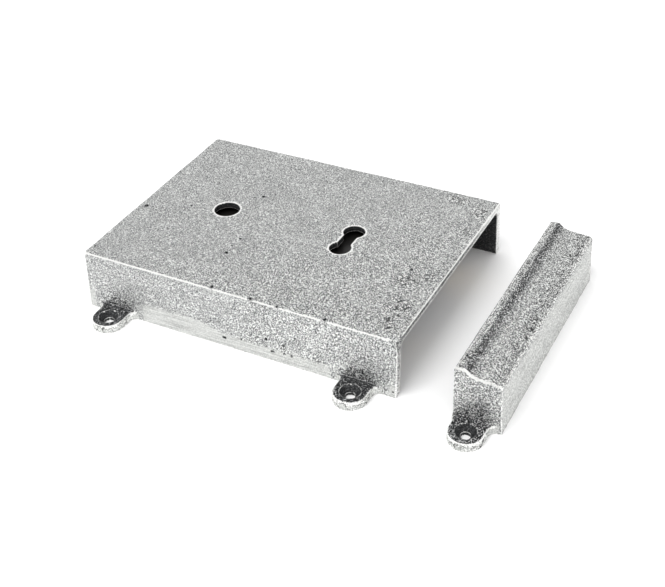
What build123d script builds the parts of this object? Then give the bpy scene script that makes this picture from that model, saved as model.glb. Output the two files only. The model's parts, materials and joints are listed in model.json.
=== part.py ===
from build123d import *

import os
from math import cos, radians, sin

# A cast-iron cover and keep for a rim lock, with the 6 x 4 inch lock that the cover goes over.
# Millimetres. X runs from the cover's closed end to its mouth and on to the keep, Y across,
# Z up from the face that lies on the door. Pieces are drawn with X = 0 at the closed end and
# Y = 0 on the line through spindle and keyhole, then shifted so that the origin is the middle
# of the whole, on the door face.

# Fits, how far a cutter runs past what it cuts, and tolerances for picking edges
running_fit = 0.05
slide_gap = 0.3
past = 5.0
level = 0.01
inside = 1.0

# Key and spindle
key_backset = 56.7
spindle_to_key = 69.8
key_spread = 15.5
bit_radius = 13.0
stem_radius = 4.0
bit_slot_width = 4.4
spindle_square = 8.2

# Sheet and forend of the lock case
sheet = 1.6
forend_thickness = 3.0
case_corner_radius = 2.0
tab_width = 28.0
tab_height = 8.0
tab_middle_y = 2.0

# Latch bolt
latch_projection = 10.0
latch_width = 20.0
latch_depth = 13.0
latch_under_room = 5.4
latch_over_room = 3.4
latch_head_length = 14.0
latch_tip_land = 2.0
latch_key_room = 3.25
latch_side_room = 5.2
tail_thickness = 3.0
tail_lift = 1.5
latch_tail_width = 8.0
latch_tail_inset = 1.0
stirrup_width = 4.5
stirrup_leg_width = 6.5
stirrup_leg_depth = 5.7
stirrup_room = 1.4
stirrup_leg_gap = 0.2

# Latch spring
spring_wire = 1.0
spring_coil_radius = 3.4
spring_turns = 9
spring_length = 39.8
spring_height = 5.0
spring_end_gap = 0.1
spigot_radius = 2.0
spigot_length = 8.0
stop_thickness = 3.0
stop_foot_length = 9.0
stop_side = 0.5

# Follower
follower_turn = 45.0
hub_radius = 8.0
journal_radius = 7.0
arm_nose_radius = 3.0
arm_root_radius = 1.5
arm_thickness = 4.0
arm_gap = 0.4

# Dead bolt and its stump
bolt_throw = 13.0
bolt_width = 24.0
bolt_depth = 12.0
bolt_head_length = 26.0
bolt_strip_inset = 8.0
bolt_strip_width = 12.0
talon_width = 8.0
talon_depth = 6.0
talon_edge_y = -1.0
talon_plate_front = 6.7
talon_plate_back = 27.3
stump_to_key = 17.3
stump_y = -12.0
stump_side = 5.0
stump_shank_radius = 2.0
stump_over_levers = 1.0

# Levers
lever_thickness = 1.6
lever_lift = 7.0
lever_front = 10.7
lever_belly_length = 22.0
lever_belly_y = 0.5
lever_foot_y = -21.0
lever_hub_radius = 6.0
lever_shoulder_drop = 1.5
lever_heel_drop = 1.0
lever_over_tail = 0.7
lever_waist = 22.0
lever_pivot_to_spindle = 22.5
lever_pivot_y = -8.0
lever_pivot_radius = 3.0
gate_room = 0.6
washer_thickness = 0.5
washer_radius = 5.0
lever_spring_wire = 0.6
lever_spring_reach = 34.0
lever_spring_root = 12.0
lever_spring_bow = 3.0
stop_pin_radius = 1.5
stop_pin_to_pivot = 13.0

# Studs, pillars, rivets and screws of the case
collar_radius = 4.5
stud_radius = 2.5
pillar_radius = 3.5
pillar_inset = 9.5
front_pillar_backset = 14.0
latch_stud_to_spindle = 26.5
bolt_stud_to_spindle = 31.5
screw_radius = 1.5
screw_head_radius = 3.0
screw_length = 8.0
screw_well_room = 1.0
screw_slot_width = 0.8
screw_slot_depth = 0.6
rivet_radius = 1.5
rivet_head_radius = 2.6
rivet_head_height = 1.0
rivet_spread = 16.0
lock_screw_radius = 2.25
lock_screw_inset = 6.8
lock_screw_to_spindle = 6.5
lock_screw_backset = 30.0
ward_inner_radius = 9.0
ward_thickness = 1.2
ward_height = 3.4
ward_gap = 12.0

# Cover casting
wall = 4.0
top_thickness = 3.3
side_room = 8.7
top_room = 2.9
mouth_room = 15.3
side_draft = 2.1
end_draft = 0.3
outer_edge_radius = 1.3
outer_corner_radius = 2.2
inner_edge_radius = 3.0
spindle_hole_radius = 6.75
key_lobe_radius = 5.6
key_neck_width = 7.3
key_neck_radius = 1.2

# Ears of both castings
ear_radius = 8.35
ear_reach = 8.7
ear_height = 4.6
ear_flare = 4.0
ear_edge_radius = 0.9
ear_from_end = 18.8
screw_hole_radius = 2.4
countersink_radius = 5.15

# Keep casting
keep_gap = 28.7
keep_offset = 4.6
keep_wall = 3.5
keep_end_wall = 4.0
keep_top_width = 22.1
keep_draft = 0.9
keep_lip_width = 4.8
keep_below_cover = 1.2
keep_head_room = 2.7
keep_fall = 0.8
keep_cove_width = 5.7
keep_cove_radius = 8.0
keep_outer_radius = 2.0
keep_edge_radius = 0.6
keep_inner_radius = 1.5
keep_ear_place = 9.7

# Places along the lock, measured back from the outer face of the forend
arm_side_angle = radians(follower_turn / 2)
arm_length = latch_projection / (2 * sin(arm_side_angle))
spindle_backset = key_backset + spindle_to_key
stirrup_front = spindle_backset + hub_radius + arm_gap
stirrup_back = stirrup_front + stirrup_width
lock_length = stirrup_back + latch_projection + stirrup_room + sheet
lever_pivot_backset = spindle_backset - lever_pivot_to_spindle
latch_stud_backset = spindle_backset - latch_stud_to_spindle
bolt_stud_backset = spindle_backset - bolt_stud_to_spindle
stump_backset = key_backset + stump_to_key
bolt_tail_back = bolt_stud_backset + bolt_throw + 2 * stud_radius + slide_gap

# Places across the lock, from the spindle line
key_y = key_spread / 2
latch_near = key_y + bit_radius + latch_key_room
latch_far = latch_near + latch_width
lock_half = latch_far + latch_side_room + sheet
bolt_far = -(lock_half - sheet - latch_side_room)
bolt_near = bolt_far + bolt_width
latch_tail_near = latch_near + latch_tail_inset
latch_tail_far = latch_tail_near + latch_tail_width
latch_tail_y = (latch_tail_near + latch_tail_far) / 2
spring_y = latch_far - spring_height
strip_far = bolt_far + bolt_strip_inset
strip_near = strip_far + bolt_strip_width
strip_y = (strip_far + strip_near) / 2

# Heights in the lock, from the door face
latch_bottom = sheet + latch_under_room
latch_top = latch_bottom + latch_depth
front_inside = latch_top + latch_over_room
lock_depth = front_inside + sheet
bolt_top = latch_top
bolt_bottom = bolt_top - bolt_depth
tail_bottom = latch_bottom + tail_lift
tail_top = tail_bottom + tail_thickness
bolt_tail_top = bolt_bottom + tail_thickness
spring_z = (latch_bottom + latch_top) / 2
lever_1_bottom = bolt_tail_top + lever_over_tail
lever_1_top = lever_1_bottom + lever_thickness
lever_2_bottom = lever_1_top + washer_thickness + 2 * slide_gap
lever_2_top = lever_2_bottom + lever_thickness

# Places and sizes of the castings
forend_x = wall + slide_gap + lock_length
cover_length = forend_x + mouth_room
cover_half = lock_half + side_room + wall
cover_foot_half = cover_half + side_draft
cover_height = lock_depth + top_room + top_thickness
cover_inside = cover_height - top_thickness
keep_x = cover_length + keep_gap
keep_y = -keep_offset
keep_foot_width = keep_top_width + keep_draft
keep_half = cover_half
keep_height = cover_height - keep_below_cover
keep_inside = latch_top + keep_head_room
keep_shelf = keep_inside + keep_wall
keep_shelf_inner = keep_shelf + keep_fall
ear_step = ear_reach + ear_radius

# Origin of the whole: middle of the box round both castings, on the door face
origin_x = (keep_x + keep_foot_width - end_draft) / 2
origin_y = ((cover_foot_half + ear_step) - (keep_offset + keep_half + ear_step)) / 2


def in_lock(backset):
    """X of a place measured back from the forend's outer face."""
    return forend_x - backset


def block(x0, x1, y0, y1, z0, z1):
    """Box between two corners, given in any order along X and Y."""
    size = Box(abs(x1 - x0), abs(y1 - y0), z1 - z0, align=(Align.MIN, Align.MIN, Align.MIN))
    return Pos(min(x0, x1), min(y0, y1), z0) * size


def lock_block(back0, back1, y0, y1, z0, z1):
    """Box in the lock, its length given as two backsets."""
    return block(in_lock(back0), in_lock(back1), y0, y1, z0, z1)


def rod(x, y, radius, z0, z1):
    """Upright cylinder."""
    return Pos(x, y, z0) * Cylinder(radius, z1 - z0, align=(Align.CENTER, Align.CENTER, Align.MIN))


def rod_along_x(x0, x1, y, z, radius):
    """Cylinder lying along X."""
    lying = Plane.YZ * Circle(radius)
    return Pos(x0, y, z) * extrude(lying, x1 - x0)


def slab(sketch, z0, z1):
    """Flat sketch given thickness between two heights."""
    return Pos(0, 0, z0) * extrude(sketch, z1 - z0)


def cone(x, y, radius_low, radius_high, z0, z1):
    """Upright cone, for countersinks and countersunk heads."""
    shape = Cone(radius_low, radius_high, z1 - z0, align=(Align.CENTER, Align.CENTER, Align.MIN))
    return Pos(x, y, z0) * shape


def edges_where(solid, test):
    """Edges of a solid whose middle passes a test."""
    return [edge for edge in solid.edges() if test(edge @ 0.5)]


def ear(side):
    """Screw ear: a round tab that flares into the wall it grows from, with a countersunk hole."""
    root = ear_radius + ear_flare
    outline = [
        Line((ear_radius, -ear_flare), (ear_radius, -ear_reach)),
        CenterArc((0, -ear_reach), ear_radius, 0, -180),
        Line((-ear_radius, -ear_reach), (-ear_radius, -ear_flare)),
        CenterArc((-root, -ear_flare), ear_flare, 0, 90),
        Polyline((-root, 0), (-root, wall / 2), (root, wall / 2), (root, 0)),
        CenterArc((root, -ear_flare), ear_flare, 90, 90),
    ]
    tab = slab(make_face(outline), 0, ear_height)
    rim = edges_where(tab, lambda p: p.Z > ear_height - level and p.Y < -ear_flare / 4)
    tab = fillet(rim, ear_edge_radius)
    sink = countersink_radius - screw_hole_radius
    tab -= rod(0, -ear_reach, screw_hole_radius, -past, ear_height + past)
    tab -= cone(0, -ear_reach, screw_hole_radius, countersink_radius, ear_height - sink, ear_height)
    return tab if side < 0 else mirror(tab, about=Plane.XZ)


def drafted_bar(half_top, half_foot, height, x0, x1):
    """Bar along X that is wider at its foot."""
    outline = Polyline(
        (-half_foot, 0), (half_foot, 0), (half_top, height), (-half_top, height), close=True
    )
    return Pos(x0, 0, 0) * extrude(Plane.YZ * make_face(outline), x1 - x0)


def keyhole():
    """Double-ended keyhole: two round lobes and a straight neck."""
    lobes = Pos(0, key_y) * Circle(key_lobe_radius) + Pos(0, -key_y) * Circle(key_lobe_radius)
    shape = lobes + Rectangle(key_neck_width, key_spread)
    corners = [corner for corner in shape.vertices() if abs(corner.Y) < key_y]
    return fillet(corners, key_neck_radius)


def cover():
    """Cover casting: a box with no underside and no wall at its mouth, on four ears."""
    body = drafted_bar(cover_half, cover_foot_half, cover_height, -end_draft, cover_length)
    slope = Polyline((-end_draft, 0), (0, cover_height), (-past, cover_height), (-past, 0), close=True)
    half_slope = extrude(Plane.XZ * make_face(slope), cover_foot_half + past, both=True)
    body -= half_slope
    corners = edges_where(body, lambda p: p.X < inside < p.Z < cover_height - inside)
    body = fillet(corners, outer_corner_radius)
    rim = edges_where(body, lambda p: p.Z > cover_height - level and p.X < cover_length - inside)
    body = fillet(rim, outer_edge_radius)

    inner_foot = cover_foot_half - wall
    inner_top = inner_foot - side_draft * cover_inside / cover_height
    hollow = drafted_bar(inner_top, inner_foot, cover_inside, wall, cover_length + past)
    upright = edges_where(hollow, lambda p: p.X < wall + inside and inside < p.Z < cover_inside - inside)
    hollow = fillet(upright, inner_edge_radius)
    roof = edges_where(hollow, lambda p: p.Z > cover_inside - level and p.X < cover_length + inside)
    hollow = fillet(roof, inner_edge_radius)
    body -= hollow

    hole_x = cover_length - spindle_backset
    key_x = cover_length - key_backset
    body -= rod(hole_x, 0, spindle_hole_radius, cover_inside - past, cover_height + past)
    body -= Pos(key_x, 0, 0) * slab(keyhole(), cover_inside - past, cover_height + past)
    for ear_x in (ear_from_end, cover_length - ear_from_end):
        for side in (-1, 1):
            body += Pos(ear_x, side * cover_foot_half, 0) * ear(side)
    return body


def keep():
    """Keep casting: a bar with a raised lip, hollow towards the lock, on two ears."""
    cove_end = keep_lip_width + keep_cove_width
    outline = [
        Polyline((0, 0), (0, keep_height), (keep_lip_width, keep_height)),
        RadiusArc((keep_lip_width, keep_height), (cove_end, keep_shelf_inner), -keep_cove_radius),
        Polyline(
            (cove_end, keep_shelf_inner), (keep_top_width, keep_shelf), (keep_foot_width, 0), (0, 0)
        ),
    ]
    body = Pos(0, keep_half, 0) * extrude(Plane.XZ * make_face(outline), 2 * keep_half)
    outer = edges_where(body, lambda p: p.X > keep_top_width - inside and p.Z > inside > abs(p.Y))
    body = fillet(outer, keep_outer_radius)
    lip = edges_where(body, lambda p: p.Z > keep_height - level and abs(p.Y) < inside)
    body = fillet(lip, keep_edge_radius)

    inner_half = keep_half - keep_end_wall
    hollow = block(-past, keep_top_width - keep_wall, -inner_half, inner_half, -past, keep_inside)
    roof = edges_where(hollow, lambda p: p.Z > keep_inside - level and p.X > 0)
    body -= fillet(roof, keep_inner_radius)
    for side in (-1, 1):
        body += Pos(keep_ear_place, side * keep_half, 0) * ear(side)
    body -= block(-past, 0, -keep_half - ear_step, keep_half + ear_step, 0, keep_height)
    return Pos(keep_x, keep_y, 0) * body


def post_places():
    """Centres of the three pillars and three studs that hold case and back plate together."""
    pillar_y = lock_half - pillar_inset
    pillar_back = lock_length - pillar_inset
    pillars = [(front_pillar_backset, tab_middle_y), (pillar_back, pillar_y), (pillar_back, -pillar_y)]
    studs = [
        (latch_stud_backset, latch_tail_y),
        (bolt_stud_backset, strip_y),
        (lever_pivot_backset, lever_pivot_y),
    ]
    return pillars, studs


def lock_screw_places():
    """Centres of the three holes through which the lock is screwed to the door."""
    back = spindle_backset - lock_screw_to_spindle
    side = lock_half - lock_screw_inset
    return [(lock_screw_backset, key_y), (back, side), (back, -side)]


def plate_holes():
    """Holes that go through both faces of the lock: follower, keyhole and lock screws."""
    over = lock_depth + past
    holes = rod(in_lock(spindle_backset), 0, journal_radius + running_fit, -past, over)
    holes += rod(in_lock(key_backset), key_y, stem_radius, -past, over)
    bit_end = key_y - bit_radius - slide_gap
    half_slot = bit_slot_width / 2
    holes += lock_block(key_backset - half_slot, key_backset + half_slot, bit_end, key_y, -past, over)
    for back, y in lock_screw_places():
        holes += rod(in_lock(back), y, lock_screw_radius, -past, over)
    return holes


def rivet_places():
    """Centres, as Y and Z, of the four rivets that hold the forend."""
    low = sheet + tab_height / 2
    high = front_inside - tab_height / 2
    return [(tab_middle_y + side * rivet_spread / 2, z) for side in (-1, 1) for z in (low, high)]


def rivet_holes():
    """Holes for the forend rivets."""
    inner = in_lock(forend_thickness + sheet + past)
    radius = rivet_radius + running_fit
    return Compound([rod_along_x(inner, in_lock(-past), y, z, radius) for y, z in rivet_places()])


def forend_tab(z0, z1):
    """Tab turned up from a plate behind the forend, for its rivets."""
    half = tab_width / 2
    return lock_block(
        forend_thickness, forend_thickness + sheet, tab_middle_y - half, tab_middle_y + half, z0, z1
    )


def lock_case():
    """Pressed case: front plate with three rims, and a tab turned down behind the forend."""
    case = lock_block(forend_thickness, lock_length, -lock_half, lock_half, sheet, lock_depth)
    back = in_lock(lock_length)
    corners = edges_where(case, lambda p: p.X < back + inside and sheet + inside < p.Z < lock_depth - inside)
    case = fillet(corners, case_corner_radius)
    inner_half = lock_half - sheet
    case -= lock_block(-past, lock_length - sheet, -inner_half, inner_half, -past, front_inside)
    case += forend_tab(front_inside - tab_height, front_inside)
    return case - plate_holes() - rivet_holes()


def back_plate():
    """Flat plate on the door side, with a tab turned up behind the forend."""
    plate = lock_block(forend_thickness, lock_length, -lock_half, lock_half, 0, sheet)
    back = in_lock(lock_length)
    corners = edges_where(plate, lambda p: p.X < back + inside and level < p.Z < sheet - level)
    plate = fillet(corners, case_corner_radius)
    plate += forend_tab(sheet, sheet + tab_height)
    pillars, studs = post_places()
    for back, y in pillars + studs:
        plate -= rod(in_lock(back), y, screw_radius + running_fit, -past, sheet + past)
        plate -= cone(in_lock(back), y, screw_head_radius + running_fit, screw_radius + running_fit, 0, sheet)
    return plate - plate_holes() - rivet_holes()


def back_plate_screws():
    """Countersunk screws through the back plate into the pillars and studs."""
    pillars, studs = post_places()
    screws = []
    for back, y in pillars + studs:
        head = cone(in_lock(back), y, screw_head_radius, screw_radius, 0, sheet - running_fit)
        shank = rod(in_lock(back), y, screw_radius, sheet - 2 * running_fit, screw_length)
        half_slot = screw_slot_width / 2
        x = in_lock(back)
        slot = block(x - past, x + past, y - half_slot, y + half_slot, -past, screw_slot_depth)
        screws.append(head + shank - slot)
    return Compound(screws)


def screw_well(back, y):
    """Tapped hole in the foot of a pillar or stud."""
    return rod(in_lock(back), y, screw_radius + running_fit, 0, screw_length + screw_well_room)


def case_pillars():
    """Three plain pillars between case and back plate."""
    pillars, studs = post_places()
    return Compound([
        rod(in_lock(back), y, pillar_radius, sheet, front_inside) - screw_well(back, y)
        for back, y in pillars
    ])


def stud(back, y, collar_top, pin_radius):
    """Guide stud: a collar that carries the moving piece, and a pin through it up to the case."""
    x = in_lock(back)
    shape = rod(x, y, collar_radius, sheet, collar_top) + rod(x, y, pin_radius, collar_top, front_inside)
    return shape - screw_well(back, y)


def latch_guide_stud():
    """Stud in the slot of the latch tail."""
    return stud(latch_stud_backset, latch_tail_y, tail_bottom - slide_gap, stud_radius)


def bolt_guide_stud():
    """Stud in the slot of the dead bolt's tail."""
    return stud(bolt_stud_backset, strip_y, bolt_bottom - slide_gap, stud_radius)


def lever_pivot_stud():
    """Stud that both levers swing on."""
    return stud(lever_pivot_backset, lever_pivot_y, lever_1_bottom - slide_gap, lever_pivot_radius)


def lever_spacers():
    """Washer between the levers and the tube above them, on the pivot stud."""
    x = in_lock(lever_pivot_backset)
    bore = rod(x, lever_pivot_y, lever_pivot_radius + running_fit, 0, lock_depth)
    washer = rod(x, lever_pivot_y, washer_radius, lever_1_top + slide_gap, lever_2_bottom - slide_gap)
    tube = rod(x, lever_pivot_y, washer_radius, lever_2_top + slide_gap, front_inside)
    return Compound([washer - bore, tube - bore])


def forend():
    """Thick plate at the lock's end, with an opening for each bolt."""
    plate = lock_block(0, forend_thickness, -lock_half, lock_half, 0, lock_depth)
    plate -= lock_block(
        -past, past, latch_near - slide_gap, latch_far + slide_gap,
        latch_bottom - slide_gap, latch_top + slide_gap
    )
    plate -= lock_block(
        -past, past, bolt_far - slide_gap, bolt_near + slide_gap,
        bolt_bottom - slide_gap, bolt_top + slide_gap
    )
    return plate - rivet_holes()


def forend_rivets():
    """Four rivets, flush outside and round-headed inside."""
    inner = forend_thickness + sheet
    rivets = []
    for y, z in rivet_places():
        shank = rod_along_x(in_lock(inner), in_lock(0), y, z, rivet_radius)
        head = rod_along_x(in_lock(inner + rivet_head_height), in_lock(inner), y, z, rivet_head_radius)
        rivets.append(shank + head)
    return Compound(rivets)


def slot_along_x(back0, back1, y, radius, z0, z1):
    """Round-ended slot between two backsets."""
    length = abs(back1 - back0)
    shape = SlotCenterToCenter(length, 2 * radius)
    return Pos(in_lock((back0 + back1) / 2), y, 0) * slab(shape, z0, z1)


def latch_bolt():
    """Spring latch: a head bevelled on the door side, a flat tail, and a stirrup round the follower."""
    bevel_start = slide_gap
    profile = Polyline(
        (in_lock(latch_head_length), latch_bottom),
        (in_lock(bevel_start), latch_bottom),
        (in_lock(-latch_projection), latch_top - latch_tip_land),
        (in_lock(-latch_projection), latch_top),
        (in_lock(latch_head_length), latch_top),
        close=True,
    )
    latch = Pos(0, latch_far, 0) * extrude(Plane.XZ * make_face(profile), latch_width)
    spigot_end = in_lock(latch_head_length + spigot_length)
    latch += rod_along_x(spigot_end, in_lock(latch_head_length), spring_y, spring_z, spigot_radius)
    latch += lock_block(
        latch_head_length, stirrup_back, latch_tail_near, latch_tail_far, tail_bottom, tail_top
    )
    leg_face = spindle_backset - arm_length * sin(arm_side_angle) + arm_nose_radius + arm_gap
    leg_end = arm_length * cos(arm_side_angle) + stirrup_leg_gap
    leg_foot = -(leg_end + stirrup_leg_depth)
    latch += lock_block(
        leg_face, leg_face + stirrup_leg_width, leg_end, latch_tail_near, tail_bottom, tail_top
    )
    latch += lock_block(stirrup_front, stirrup_back, leg_foot, latch_tail_near, tail_bottom, tail_top)
    latch += lock_block(leg_face, stirrup_front, leg_foot, -leg_end, tail_bottom, tail_top)
    latch -= slot_along_x(
        latch_stud_backset - latch_projection, latch_stud_backset, latch_tail_y,
        stud_radius + slide_gap, tail_bottom - past, tail_top + past
    )
    return latch


def latch_spring():
    """Coil spring between the latch head and its stop."""
    start = in_lock(latch_head_length + spring_end_gap + spring_length - spring_wire / 2)
    rise = spring_length - spring_wire
    path = Helix(rise / spring_turns, rise, spring_coil_radius, direction=(1, 0, 0))
    wire = sweep(Plane(path @ 0, z_dir=path % 0) * Circle(spring_wire / 2), path=path)
    return Pos(start, spring_y, spring_z) * wire


def spring_stop():
    """Bracket that the latch spring pushes against."""
    front = latch_head_length + spring_length + 2 * spring_end_gap
    near = latch_tail_far + stop_side
    far = latch_far + stop_side
    stop = lock_block(front, front + stop_thickness, near, far, sheet, spring_z + spring_height)
    stop += lock_block(front, front + stop_thickness + stop_foot_length, near, far, sheet, 2 * sheet)
    stop += rod_along_x(in_lock(front), in_lock(front - spring_height), spring_y, spring_z, spigot_radius)
    return stop


def follower_arm(side):
    """One arm of the follower, leaning towards the forend at rest."""
    nose = Pos(arm_length * sin(arm_side_angle), side * arm_length * cos(arm_side_angle))
    outline = Circle(arm_root_radius) + nose * Circle(arm_nose_radius)
    middle = (tail_bottom + tail_top) / 2
    arm = slab(make_hull(outline.edges()), middle - arm_thickness / 2, middle + arm_thickness / 2)
    return Pos(in_lock(spindle_backset), 0, 0) * arm


def follower():
    """Follower: hub with two journals, a square hole for the spindle, and two arms."""
    x = in_lock(spindle_backset)
    hub = rod(x, 0, hub_radius, sheet + slide_gap, front_inside - slide_gap)
    hub += rod(x, 0, journal_radius, 0, lock_depth)
    hub += follower_arm(1) + follower_arm(-1)
    half = spindle_square / 2
    return hub - block(x - half, x + half, -half, half, -past, lock_depth + past)


def dead_bolt():
    """Dead bolt: head, tail strip on the guide stud, and talon plate that the key works in."""
    bolt = lock_block(0, bolt_head_length, bolt_far, bolt_near, bolt_bottom, bolt_top)
    bolt += lock_block(bolt_head_length, bolt_tail_back, strip_far, strip_near, bolt_bottom, bolt_tail_top)
    front = key_backset - talon_plate_front
    back = key_backset + talon_plate_back
    bolt += lock_block(front, back, strip_far, talon_edge_y, bolt_bottom, bolt_tail_top)
    notch = key_backset + bolt_throw / 2
    bolt -= lock_block(
        notch - talon_width / 2, notch + talon_width / 2,
        talon_edge_y - talon_depth, talon_edge_y + past, bolt_bottom - past, bolt_tail_top + past
    )
    bolt -= slot_along_x(
        bolt_stud_backset, bolt_stud_backset + bolt_throw, strip_y,
        stud_radius + slide_gap, bolt_bottom - past, bolt_tail_top + past
    )
    hole = stump_shank_radius + running_fit
    return bolt - rod(in_lock(stump_backset), stump_y, hole, bolt_bottom - past, bolt_tail_top + past)


def bolt_stump():
    """Square stud riveted in the dead bolt, which the levers' gates hold."""
    x = in_lock(stump_backset)
    half = stump_side / 2
    head = block(
        x - half, x + half, stump_y - half, stump_y + half, bolt_tail_top, lever_2_top + stump_over_levers
    )
    return head + rod(x, stump_y, stump_shank_radius, bolt_bottom, bolt_tail_top)


def gate():
    """Window in a lever: a pocket at each end of the stump's travel and the gate between them."""
    room = stump_side / 2 + gate_room
    pivot = Pos(in_lock(lever_pivot_backset), lever_pivot_y)
    middle = Rectangle(2 * room, 2 * room)
    steps = []
    for share in (0.0, 0.5, 1.0):
        reach = lever_pivot_backset - stump_backset + share * bolt_throw
        seen = Rot(0, 0, share * lever_lift) * Pos(reach, stump_y - lever_pivot_y)
        steps.append(pivot * seen * middle)
    window = make_hull((steps[0] + steps[1] + steps[2]).edges())
    for step in (steps[0], steps[2]):
        centre = step.center()
        low = stump_y - room
        high = centre.Y + room
        if step is steps[0]:
            high += (lever_pivot_backset - stump_backset) * sin(radians(lever_lift))
        pocket = Rectangle(2 * room, high - low)
        window += Pos(centre.X, (low + high) / 2) * pocket
    return window


def lever(bottom):
    """Lever plate: belly that the key lifts, window for the stump, and hub on the pivot stud."""
    pivot_x = in_lock(lever_pivot_backset)
    front = key_backset - lever_front
    belly_end = front + lever_belly_length
    waist_x = in_lock(lever_pivot_backset - lever_waist)
    hub_top = lever_pivot_y + lever_hub_radius - lever_shoulder_drop
    hub_foot = lever_pivot_y - lever_hub_radius + lever_heel_drop
    outline = Polyline(
        (in_lock(front), lever_belly_y), (in_lock(belly_end), lever_belly_y),
        (waist_x, hub_top), (pivot_x, hub_top), (pivot_x, hub_foot),
        (waist_x, lever_foot_y), (in_lock(front), lever_foot_y), close=True
    )
    plate = make_face(outline) + Pos(pivot_x, lever_pivot_y) * Circle(lever_hub_radius)
    plate -= Pos(pivot_x, lever_pivot_y) * Circle(lever_pivot_radius + running_fit)
    return slab(plate - gate(), bottom, bottom + lever_thickness)


def lever_spring(bottom):
    """Bowed wire driven into the lever's lower edge, its tip bearing on the case's rim."""
    root_x = in_lock(lever_pivot_backset - lever_spring_root)
    root_y = lever_pivot_y - lever_hub_radius
    tip_x = root_x + lever_spring_reach
    tip_y = -(lock_half - sheet - slide_gap - lever_spring_wire)
    middle = ((root_x + tip_x) / 2 - lever_spring_bow, (root_y + tip_y) / 2 - lever_spring_bow)
    line = ThreePointArc((root_x, root_y), middle, (tip_x, tip_y))
    z = bottom + (lever_thickness - lever_spring_wire) / 2
    return slab(trace(line, lever_spring_wire), z, z + lever_spring_wire)


def lever_stop_pin():
    """Pin that both levers rest against."""
    edge = lever_pivot_y + lever_hub_radius - lever_shoulder_drop
    x = in_lock(lever_pivot_backset - stop_pin_to_pivot)
    return rod(x, edge + slide_gap + stop_pin_radius, stop_pin_radius, sheet, front_inside)


def key_ward():
    """Ring on the back plate round the keyhole, open where the bit goes in."""
    x = in_lock(key_backset)
    top = sheet + ward_height
    ring = rod(x, key_y, ward_inner_radius + ward_thickness, sheet, top)
    ring -= rod(x, key_y, ward_inner_radius, 0, top + past)
    half = ward_gap / 2
    return ring - block(x - half, x + half, key_y - 2 * ward_inner_radius, key_y, 0, top + past)


os.makedirs("parts", exist_ok=True)

# Every piece under its own name
pieces = {
    "cover": cover(),
    "keep": keep(),
    "lock_case": lock_case(),
    "back_plate": back_plate(),
    "back_plate_screws": back_plate_screws(),
    "case_pillars": case_pillars(),
    "forend": forend(),
    "forend_rivets": forend_rivets(),
    "latch_bolt": latch_bolt(),
    "latch_spring": latch_spring(),
    "spring_stop": spring_stop(),
    "latch_guide_stud": latch_guide_stud(),
    "follower": follower(),
    "dead_bolt": dead_bolt(),
    "bolt_stump": bolt_stump(),
    "bolt_guide_stud": bolt_guide_stud(),
    "lever_1": lever(lever_1_bottom),
    "lever_2": lever(lever_2_bottom),
    "lever_1_spring": lever_spring(lever_1_bottom),
    "lever_2_spring": lever_spring(lever_2_bottom),
    "lever_pivot_stud": lever_pivot_stud(),
    "lever_spacers": lever_spacers(),
    "lever_stop_pin": lever_stop_pin(),
    "key_ward": key_ward(),
}

for name, piece in pieces.items():
    export_step(Pos(-origin_x, -origin_y, 0) * piece, f"parts/{name}.step")
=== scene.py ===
import json
import math

import bpy
import numpy as np
from mathutils import Matrix, Vector
from mathutils.bvhtree import BVHTree
from mathutils.kdtree import KDTree


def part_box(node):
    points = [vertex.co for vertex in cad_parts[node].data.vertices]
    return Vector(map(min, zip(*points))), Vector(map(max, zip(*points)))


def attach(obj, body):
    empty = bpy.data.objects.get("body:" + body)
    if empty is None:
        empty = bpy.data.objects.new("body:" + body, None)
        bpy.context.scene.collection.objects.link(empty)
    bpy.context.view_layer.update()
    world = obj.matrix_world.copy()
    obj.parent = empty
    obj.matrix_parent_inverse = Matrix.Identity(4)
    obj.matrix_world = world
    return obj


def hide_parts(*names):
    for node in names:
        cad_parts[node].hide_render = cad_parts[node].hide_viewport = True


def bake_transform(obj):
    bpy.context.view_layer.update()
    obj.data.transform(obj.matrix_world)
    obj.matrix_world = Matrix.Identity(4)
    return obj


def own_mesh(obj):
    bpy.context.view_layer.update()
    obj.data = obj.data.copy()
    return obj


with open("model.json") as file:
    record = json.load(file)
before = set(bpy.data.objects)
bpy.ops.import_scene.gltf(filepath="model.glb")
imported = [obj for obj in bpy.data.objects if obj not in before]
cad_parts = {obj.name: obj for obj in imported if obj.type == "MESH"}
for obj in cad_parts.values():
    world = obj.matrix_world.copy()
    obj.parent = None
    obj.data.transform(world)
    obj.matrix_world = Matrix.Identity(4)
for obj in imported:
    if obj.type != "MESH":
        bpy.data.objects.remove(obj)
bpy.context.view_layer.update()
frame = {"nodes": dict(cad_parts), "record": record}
bpy.ops.object.select_all(action="DESELECT")

# Cover: the deep casting that goes over the lock.
# Grey iron cast in sand, given a black patina that a soft wheel rubbed back to pewter grey, and waxed.
# It is screwed to the door by its four ears, and the lock stands loose inside it.
MM = 0.001
COVER_TOP = 31.2 * MM
EAR_HEIGHT = 4.6 * MM
ABOVE_EARS = 2 * EAR_HEIGHT
COUNTERSINK_RADIUS = 5.15 * MM
MERGE_DISTANCE = 0.002 * MM


def take_up(piece):
    """Makes a piece the one that the operators work on."""
    bpy.ops.object.select_all(action="DESELECT")
    piece.select_set(True)
    bpy.context.view_layer.objects.active = piece


def apply_modifier(piece, kind, **settings):
    """Adds a modifier with its settings and applies it."""
    modifier = piece.modifiers.new(kind.lower(), kind)
    for key, value in settings.items():
        setattr(modifier, key, value)
    take_up(piece)
    bpy.ops.object.modifier_apply(modifier=modifier.name)


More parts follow.
